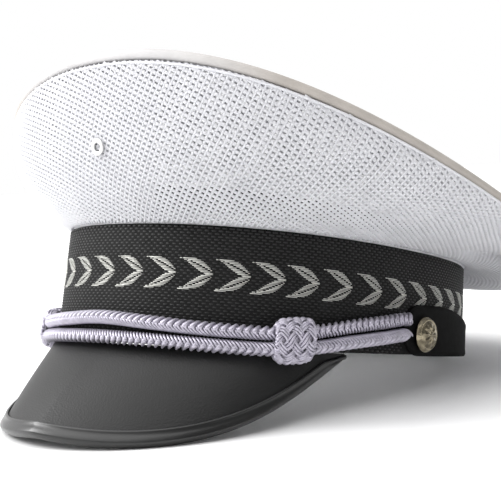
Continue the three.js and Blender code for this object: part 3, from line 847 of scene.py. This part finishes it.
def make_braid(name, rows, flip, seam_angle):
    bundle = Bundle()
    count = int(2 * CORD_END / STITCH_PITCH) + 4
    stitches = (np.arange(count) - (count - 1) / 2) * STITCH_PITCH

    def strands(starts, first, last, slant, radius, stations, sides, head):
        t = np.linspace(0, 1, stations)
        angle = np.radians(first + (last - first) * t) * flip
        deep = CORD_RADIUS - radius
        distance = starts[:, None] + flip * slant * np.sin(t * np.pi / 2)
        reach = strap_edge_reach(cord_height(distance, rows) + deep * np.sin(angle)) - radius
        kept = (np.abs(distance[:, :stations // 3]) < reach[:, :stations // 3]).all(axis=1)
        distance = np.clip(distance, -reach, reach)[kept]
        angles = np.broadcast_to(angle, distance.shape)
        paths = around_cord(distance, angles, deep, rows)
        outs = around_cord(distance, angles, deep + 1, rows) - paths
        nose = np.sqrt(1 - np.clip(1 - t / 0.12, 0, 1) ** 2 * 0.85)
        thinning = 1 - head * np.clip((t - 0.12) / 0.3, 0, 1)
        size = radius * nose * thinning
        bundle.add(*tubes(paths, outs, size, size, sides))

    strands(stitches, seam_angle - 8, 172, LOOP_SLANT, LOOP_RADIUS, 15, 8, LOOP_THINNING)
    for strand in range(STRANDS):
        offset = (strand - (STRANDS - 1) / 2) * STITCH_PITCH / STRANDS
        strands(stitches + offset, seam_angle + 16, -172, STRAND_SLANT, STRAND_RADIUS, 13, 6, 0.0)
    spine = np.linspace(-CORD_END, CORD_END, 181)
    core = around_cord(spine, 0 * spine, 0, rows)
    outs = around_cord(spine, 0 * spine, 1, rows) - core
    bundle.add(*tubes(core[None], outs[None], CORD_RADIUS * CORE_SHARE, CORD_RADIUS * CORE_SHARE, 8))
    return bundle.piece(name)


KNOT_BUNDLES = 9
KNOT_STRANDS = 3
KNOT_THREAD = 0.56
KNOT_SPREAD = 0.25
KNOT_TURN = 0.32
KNOT_WEAVE = 0.6
KNOT_GROUND = 1.0


def make_woven_knot(name, side):
    centre = side * KNOT_DISTANCE
    shift = (KNOT_FRONT_WALL - KNOT_BACK_WALL) / 2
    half_out = CORD_RADIUS + GAP + (KNOT_FRONT_WALL + KNOT_BACK_WALL) / 2

    def place(row, angle, inset):
        distance = centre + row * KNOT_HALF_LENGTH
        middle = (cord_height(distance, CORD_UPPER) + cord_height(distance, CORD_LOWER)) / 2
        barrel = 1 - KNOT_BARREL * row ** 4 - 0.14 * np.clip((np.abs(row) - 0.8) / 0.2, 0, 1) ** 2
        x, y = bent(np.cos(angle), 0.8), bent(np.sin(angle), 0.8)
        height = middle + (KNOT_HALF_HEIGHT * barrel - inset) * y
        out = KNOT_OUT + shift + (half_out * (1 + barrel) / 2 - inset) * x
        return band_place(turn_at(distance), height, np.maximum(out, GAP + KNOT_THREAD))

    bundle = Bundle()
    t = np.linspace(0, 1, 34)
    row = np.broadcast_to(2 * t - 1, (KNOT_BUNDLES * KNOT_STRANDS, len(t)))
    lead = np.repeat(np.arange(KNOT_BUNDLES), KNOT_STRANDS)[:, None]
    strand = np.tile(np.arange(KNOT_STRANDS) - (KNOT_STRANDS - 1) / 2, KNOT_BUNDLES)[:, None]
    for way in (1, -1):
        turn = (lead + strand * KNOT_SPREAD) / KNOT_BUNDLES + way * KNOT_TURN * t
        crossing = lead + way * 2 * KNOT_TURN * KNOT_BUNDLES * t
        weave = way * KNOT_WEAVE * np.cos(np.pi * (crossing + lead))
        inset = KNOT_THREAD + KNOT_WEAVE - weave
        angle = 2 * np.pi * turn
        paths = place(row, angle, inset)
        outs = place(row, angle, inset - 1) - paths
        outs = outs + 1e-4 * BAND.outward(turn_at(np.full(outs.shape[:2], centre)))
        bundle.add(*tubes(paths, outs, KNOT_THREAD, KNOT_THREAD, 5))
    ring = np.linspace(0, 2 * np.pi, 41)[:-1]
    rows = np.linspace(-0.96, 0.96, 15)[:, None]
    rows, ring = np.broadcast_arrays(rows, ring)
    depth = 2 * KNOT_THREAD + KNOT_GROUND
    outer = place(rows, ring, depth)
    inner = place(rows, ring, depth + 0.4)
    bundle.add(*sheet_between(outer, inner, True))
    return bundle.piece(name)


# Buttons and eyelet, turned from a relief over a disc

def turned(name, centre, axis, radii, heights, steps, relief=None):
    """A closed form turned about an axis: radius and height along its section"""
    axis = unit(np.asarray(axis, float))
    aside = unit(np.cross(UPRIGHT, axis))
    upward = np.cross(axis, aside)
    angle = 2 * np.pi * np.arange(steps) / steps
    radii, heights = np.asarray(radii, float)[:, None], np.asarray(heights, float)[:, None]
    raised = heights + (relief(radii, angle) if relief else 0 * angle)
    spots = (centre + raised[..., None] * axis + (radii * np.cos(angle))[..., None] * aside
             + (radii * np.sin(angle))[..., None] * upward)
    rows = len(radii)
    blocks = [ring_quads(rows, steps)]
    if radii[0, 0] != radii[-1, 0]:
        blocks.append(np.arange(steps)[None, ::-1])
        blocks.append((rows - 1) * steps + np.arange(steps)[None])
    return make_object(name, spots.reshape(-1, 3), blocks)


# A plain raised pattern of rope, groove, petals and hub: place and width as shares of the radius, depth
BUTTON_RELIEF = ((0.87, 0.05, 0.3), (0.77, 0.035, -0.28), (0.42, 0.2, 0.5), (0, 0.13, 0.4))
ROPE_TURNS = 44
PETALS = 8


def make_button(name, side):
    turn = turn_at(side * BUTTON_DISTANCE)
    centre = band_place(turn, BUTTON_HEIGHT, GAP + STRAP_WALL + GAP)
    across = np.cos(np.linspace(0, np.pi / 2, 40))
    radii = BUTTON_RADIUS * np.concatenate([[0.86, 0.97], across[:-1], [0.05 / BUTTON_RADIUS]])
    dome = BUTTON_EDGE + BUTTON_DOME * np.sqrt(1 - across ** 2)
    heights = np.concatenate([[0, 0.3], dome[:-1], [BUTTON_EDGE + BUTTON_DOME]])

    def relief(radius, angle):
        share = radius / BUTTON_RADIUS
        rope, groove, petals, hub = (deep * np.exp(-((share - place) / spread) ** 2)
                                     for place, spread, deep in BUTTON_RELIEF)
        twist = 0.65 + 0.35 * np.cos(ROPE_TURNS * angle + 30 * share)
        return rope * twist + groove + petals * np.abs(np.cos(PETALS / 2 * angle)) ** 1.5 + hub

    return turned(name, centre, BAND.outward(turn), radii, heights, 132, relief)


def make_eyelet():
    shares = np.linspace(0, 1, 2001)
    share = np.interp(EYELET_RISE, panel_curve(0 * shares, shares)[:, 2] - BAND_HEIGHT, shares)
    centre = panel_place(0.0, share, 0.0)
    axis = panel_outward(np.array(0.0), np.array(share))
    middle = (EYELET_RADIUS + EYELET_HOLE) / 2
    half = (EYELET_RADIUS - EYELET_HOLE) / 2
    angle = np.linspace(0, 2 * np.pi, 15)
    radii = middle + half * np.cos(angle)
    heights = GAP + 0.25 + 0.55 * np.sin(angle)
    radii = np.concatenate([radii[:11], [EYELET_HOLE, EYELET_HOLE + 0.5], radii[12:]])
    heights = np.concatenate([heights[:11], [-2.2, -2.2], heights[12:]])
    return turned("eyelet_ring", centre, axis, radii, heights, 40)


# Materials, all made of nodes in the piece's own coordinates

def set_inputs(node, values):
    for name, value in values.items():
        node.inputs[name].default_value = value


def start_material(name, colour, roughness, sheen=0.0, metallic=0.0, specular=0.5, coat=0.0):
    material = bpy.data.materials.new(name)
    material.use_nodes = True
    tree = material.node_tree
    shader = tree.nodes["Principled BSDF"]
    set_inputs(shader, {"Base Color": (*colour, 1), "Roughness": roughness, "Metallic": metallic,
                        "Specular IOR Level": specular, "Sheen Weight": sheen, "Sheen Roughness": 0.4,
                        "Coat Weight": coat, "Coat Roughness": 0.3})
    return material, tree, shader


def link(tree, start, end):
    tree.links.new(start, end)


def texture(tree, kind, output, values):
    """A texture read in the piece's own coordinates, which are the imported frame's"""
    place = tree.nodes.new("ShaderNodeTexCoord")
    node = tree.nodes.new(kind)
    set_inputs(node, values)
    link(tree, place.outputs["Object"], node.inputs["Vector"])
    return node.outputs[output]


def noise(tree, scale, detail=3.0):
    return texture(tree, "ShaderNodeTexNoise", "Fac", {"Scale": scale, "Detail": detail})


def paint(tree, shader, colour):
    link(tree, colour, shader.inputs["Base Color"])


def ramp(tree, source, low, high, low_at=0.3, high_at=0.7):
    node = tree.nodes.new("ShaderNodeValToRGB")
    node.color_ramp.elements[0].position = low_at
    node.color_ramp.elements[1].position = high_at
    node.color_ramp.elements[0].color = (*low, 1)
    node.color_ramp.elements[1].color = (*high, 1)
    link(tree, source, node.inputs["Fac"])
    return node.outputs["Color"]


def bump(tree, shader, height, strength, distance):
    node = tree.nodes.new("ShaderNodeBump")
    set_inputs(node, {"Strength": strength, "Distance": distance})
    link(tree, height, node.inputs["Height"])
    link(tree, node.outputs["Normal"], shader.inputs["Normal"])


def math_node(tree, operation, first, second):
    node = tree.nodes.new("ShaderNodeMath")
    node.operation = operation
    for index, value in enumerate((first, second)):
        if isinstance(value, (int, float)):
            node.inputs[index].default_value = value
        else:
            link(tree, value, node.inputs[index])
    return node.outputs[0]


def grey(value):
    return (value, value, value)


def mottled(name, base, roughness, low, high, scale, detail=3.0, grain=None, **finish):
    """Mottled colour and a fine bump, whose grain is its scale, detail, strength and depth"""
    material, tree, shader = start_material(name, base, roughness, **finish)
    paint(tree, shader, ramp(tree, noise(tree, scale, detail), low, high))
    if grain:
        bump(tree, shader, noise(tree, *grain[:2]), *grain[2:])
    return material


def mapped(tree, value, low, high, blend="LINEAR"):
    node = tree.nodes.new("ShaderNodeMapRange")
    node.interpolation_type = blend
    set_inputs(node, {"From Min": low, "From Max": high})
    link(tree, value, node.inputs["Value"])
    return node.outputs["Result"]


def position_share(tree, axis, low, high):
    """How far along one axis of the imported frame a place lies, in metres, from nought to one"""
    place = tree.nodes.new("ShaderNodeTexCoord")
    split = tree.nodes.new("ShaderNodeSeparateXYZ")
    link(tree, place.outputs["Object"], split.inputs["Vector"])
    return mapped(tree, split.outputs[axis], low, high)


def multiplied(tree, first, second):
    node = tree.nodes.new("ShaderNodeMix")
    node.data_type = "RGBA"
    node.blend_type = "MULTIPLY"
    node.inputs["Factor"].default_value = 1.0
    link(tree, first, node.inputs[6])
    link(tree, second, node.inputs[7])
    return node.outputs[2]


# Key, name, darker and lighter colour, noise scale, roughness, sheen, bump depth, specular, metallic
CLOTHS = (
    ("mesh", "white_mesh_thread", (0.66, 0.66, 0.7), (0.72, 0.72, 0.76), 90, 0.8, 0.1, 0.0001, 0.2, 0.0),
    ("stay", "white_stay_cloth", (0.84, 0.84, 0.87), (0.88, 0.88, 0.91), 60, 0.8, 0.0, 0.0001, 0.2, 0.0),
    ("ground", "black_band_ground", grey(0.005), grey(0.01), 300, 0.75, 0.0, 0.0001, 0.2, 0.0),
    ("weave", "black_band_thread", grey(0.009), grey(0.018), 260, 0.5, 0.0, 0.0001, 0.4, 0.0),
    ("leaf", "silver_leaf_thread", (0.48, 0.48, 0.45), (0.7, 0.7, 0.66), 500, 0.4, 0.0, 0.0001, 0.6, 0.6),
    ("headband", "black_headband_cloth", grey(0.006), grey(0.015), 200, 0.85, 0.05, 0.0001, 0.1, 0.0),
    ("cord", "silver_cord_thread", (0.42, 0.4, 0.47), (0.56, 0.53, 0.62), 400, 0.33, 0.0, 0.0001, 0.7, 0.45),
    ("strap", "black_strap_cloth", grey(0.004), grey(0.009), 350, 0.8, 0.0, 0.0002, 0.08, 0.0),
)
# Piping colours: white at the front and a tan of painted shade for the sides and back, with the turns round
# the rim over which the painted shade comes in
RIM_WHITE = (0.62, 0.61, 0.61)
RIM_SHADE_TAN = (0.47, 0.435, 0.4)
THREAD_GLOW = 0.5
THREAD_GLOW_DEPTH = 0.002
RIM_SHADE_TURNS = (0.025, 0.1)


def make_materials():
    made = {}
    for key, name, low, high, scale, roughness, sheen, depth, specular, metallic in CLOTHS:
        made[key] = mottled(name, high, roughness, low, high, scale, grain=(scale * 9, 2.0, 0.5, depth),
                            sheen=sheen, specular=specular, metallic=metallic)
    for key in ("mesh", "stay"):
        set_inputs(made[key].node_tree.nodes["Principled BSDF"],
                   {"Subsurface Weight": THREAD_GLOW, "Subsurface Scale": THREAD_GLOW_DEPTH,
                    "Subsurface Radius": (1, 1, 1)})

    # Rim piping: its colour runs from white at the front to tan towards the sides and back by place along the
    # cap, a painted shade, under a random mottle
    material, tree, shader = start_material("rim_piping_cloth", RIM_SHADE_TAN, 0.85, specular=0.2)
    turns = np.array(RIM_SHADE_TURNS)
    shade_span = to_frame(rim_place(turns, 0 * turns, rim_height(turns)))[:, 1]
    shaded_colour = ramp(tree, position_share(tree, "Y", *map(float, shade_span)), RIM_WHITE, RIM_SHADE_TAN, 0.0, 1.0)
    paint(tree, shader, multiplied(tree, shaded_colour, ramp(tree, noise(tree, 120), grey(0.9), grey(1.0))))
    bump(tree, shader, noise(tree, 1100, 2.0), 0.5, 0.0002)
    made["roll"] = material

    material, tree, shader = start_material("black_peak_leather", grey(0.02), 0.45, specular=0.32)
    paint(tree, shader, ramp(tree, noise(tree, 18), grey(0.007), grey(0.013)))
    pores = texture(tree, "ShaderNodeTexVoronoi", "Distance", {"Scale": 1300})
    grain = math_node(tree, "ADD", pores, math_node(tree, "MULTIPLY", noise(tree, 1500), 0.5))
    bump(tree, shader, grain, 0.4, 0.0002)
    made["peak"] = material

    made["binding"] = mottled("black_binding_leather", grey(0.012), 0.3, grey(0.008), grey(0.016), 40,
                              grain=(900, 3.0, 0.25, 0.0002), specular=0.45, coat=0.15)
    made["brass"] = mottled("aged_brass", (0.45, 0.4, 0.28), 0.27, (0.1, 0.085, 0.06), (0.5, 0.44, 0.31),
                            350, 5.0, (900, 4.0, 0.35, 0.0003), metallic=1.0)
    made["eyelet"] = mottled("white_eyelet_metal", (0.6, 0.6, 0.58), 0.35, grey(0.72), (0.88, 0.88, 0.87),
                             200, grain=(600, 3.0, 0.1, 0.0002), metallic=0.3)
    made["floor"] = mottled("pale_floor", grey(0.9), 0.6, grey(0.93), grey(0.96), 3, specular=0.2)
    return made


materials = make_materials()


def dress(piece, key):
    piece.data.materials.clear()
    piece.data.materials.append(materials[key])


def fit_piece(piece, key, slot, *replaced):
    dress(piece, key)
    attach(piece, "root")
    if replaced:
        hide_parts(*replaced)


# Camera, turned with the cap: it stands a little below the level of the crown, front and left of the cap

CAMERA_AZIMUTH = 40.01
CAMERA_ELEVATION = -4.68
CAMERA_DISTANCE = 560.0
CAMERA_TARGET_HEIGHT = 40.0
CAMERA_PAN = -1.13
CAMERA_TILT = 0.87
CAMERA_ROLL = 4.3
FOCAL_PIXELS = 1194.3
FRAME_PIXELS = 501
SENSOR = 36.0


def spun(first, second, angle):
    """Two directions turned together in their own plane"""
    return (first * math.cos(angle) - second * math.sin(angle),
            second * math.cos(angle) + first * math.sin(angle))


def make_camera():
    azimuth, elevation = math.radians(CAMERA_AZIMUTH), math.radians(CAMERA_ELEVATION)
    back = Vector((math.sin(azimuth) * math.cos(elevation), -math.cos(azimuth) * math.cos(elevation),
                   math.sin(elevation)))
    right = Vector((math.cos(azimuth), math.sin(azimuth), 0))
    place = Vector((0, 0, CAMERA_TARGET_HEIGHT)) + back * CAMERA_DISTANCE
    ahead = -back
    upward = right.cross(ahead)
    pan, tilt, roll = (math.radians(v) for v in (CAMERA_PAN, CAMERA_TILT, CAMERA_ROLL))
    right, ahead = spun(right, ahead, pan)
    upward, ahead = spun(upward, ahead, tilt)
    right, upward = spun(right, upward, -roll)
    matrix = Matrix((right, upward, -ahead)).transposed().to_4x4()
    matrix.translation = place * MM
    data = bpy.data.cameras.new("camera")
    data.sensor_fit = "HORIZONTAL"
    data.sensor_width = SENSOR
    data.lens = SENSOR * FOCAL_PIXELS / FRAME_PIXELS
    data.clip_start = 0.01
    camera = add_object("camera", data)
    camera.matrix_world = CAP @ matrix
    bpy.context.scene.camera = camera


# Studio, in metres and shares of full white
FLOOR_SIZE = 20
KEY_PLACE = (-1.15, -0.75, 0.85)
KEY_TARGET = (0, 0, 0.07)
KEY_SIZE = 0.9
KEY_POWER = 19
OVERHEAD_STRENGTH = 2.2
OVERHEAD_SPREAD = 80
STUDIO_WINDOW = (-0.72, -0.6, 0.35)
STUDIO_GAIN = 0.95
STUDIO_DIM = 0.2
STUDIO_WALL = (-0.64, 0.77, 0.05)


def add_lights():
    data = bpy.data.lights.new("key", "AREA")
    data.shape = "DISK"
    data.size = KEY_SIZE
    data.energy = KEY_POWER
    lamp = add_object("key", data)
    lamp.location = KEY_PLACE
    lamp.rotation_euler = (Vector(KEY_TARGET) - Vector(KEY_PLACE)).to_track_quat("-Z", "Y").to_euler()
    data = bpy.data.lights.new("overhead", "SUN")
    data.energy = OVERHEAD_STRENGTH
    data.angle = math.radians(OVERHEAD_SPREAD)
    add_object("overhead", data)


def facing_share(tree, direction, low, high):
    """How nearly a direction of the surroundings points along the given one, from nought to one"""
    place = tree.nodes.new("ShaderNodeTexCoord")
    product = tree.nodes.new("ShaderNodeVectorMath")
    product.operation = "DOT_PRODUCT"
    product.inputs[1].default_value = Vector(direction).normalized()
    link(tree, place.outputs["Generated"], product.inputs[0])
    return mapped(tree, product.outputs["Value"], low, high, "SMOOTHSTEP")


def make_studio():
    """White surroundings that are brightest in front and to the left, with a white wall behind"""
    world = bpy.data.worlds.new("studio")
    world.use_nodes = True
    tree = world.node_tree
    bright = math_node(tree, "MULTIPLY", facing_share(tree, STUDIO_WINDOW, -0.3, 0.9), STUDIO_GAIN)
    plain = math_node(tree, "ADD", bright, STUDIO_DIM)
    wall = facing_share(tree, STUDIO_WALL, 0.5, 0.85)
    level = math_node(tree, "MAXIMUM", plain, wall)
    background = tree.nodes["Background"]
    background.inputs["Color"].default_value = (1, 1, 1, 1)
    link(tree, level, background.inputs["Strength"])
    return world


def make_stage():
    bpy.ops.mesh.primitive_plane_add(size=FLOOR_SIZE)
    floor = bpy.context.object
    floor.name = "floor"
    floor.data.materials.append(materials["floor"])
    bpy.context.scene.world = make_studio()
    add_lights()
    bpy.context.scene.view_settings.view_transform = "Standard"


make_camera()
make_stage()

side_wales, side_links = make_side_mesh()
fit_piece(side_wales, "mesh", "white_mesh", "crown_side")
fit_piece(side_links, "mesh", "white_mesh")
top_wales, top_links = make_top_mesh()
fit_piece(top_wales, "mesh", "white_mesh", "crown_top")
fit_piece(top_links, "mesh", "white_mesh")
fit_piece(make_roll(), "roll", "rim_cloth", "rim_roll")
fit_piece(make_rim_seam(), "mesh", "white_mesh")
fit_piece(make_stay(), "stay", "white_stay", "front_stay")
fit_piece(make_band_ground(), "ground", "black_weave", "hat_band")
fit_piece(make_weave(), "weave", "black_weave")
fit_piece(make_leaves(), "leaf", "black_weave")
fit_piece(make_peak(), "peak", "peak_leather", "peak")
fit_piece(make_binding(), "binding", "binding_leather", "peak_binding")
fit_piece(make_braid("braid_upper", CORD_UPPER, 1, -20), "cord", "silver_cord", "cord_upper")
fit_piece(make_braid("braid_lower", CORD_LOWER, -1, -10), "cord", "silver_cord", "cord_lower")
fit_piece(make_woven_knot("woven_knot_left", 1), "cord", "silver_cord", "knot_left")
fit_piece(make_woven_knot("woven_knot_right", -1), "cord", "silver_cord", "knot_right")
fit_piece(make_strap(), "strap", "strap_cloth", "back_strap")
fit_piece(make_button("brass_button_left", 1), "brass", "aged_brass", "button_left")
fit_piece(make_button("brass_button_right", -1), "brass", "aged_brass", "button_right")
fit_piece(make_eyelet(), "eyelet", "white_metal", "eyelet")
dress(nodes["seam_tape"], "stay")
dress(nodes["inner_headband"], "headband")
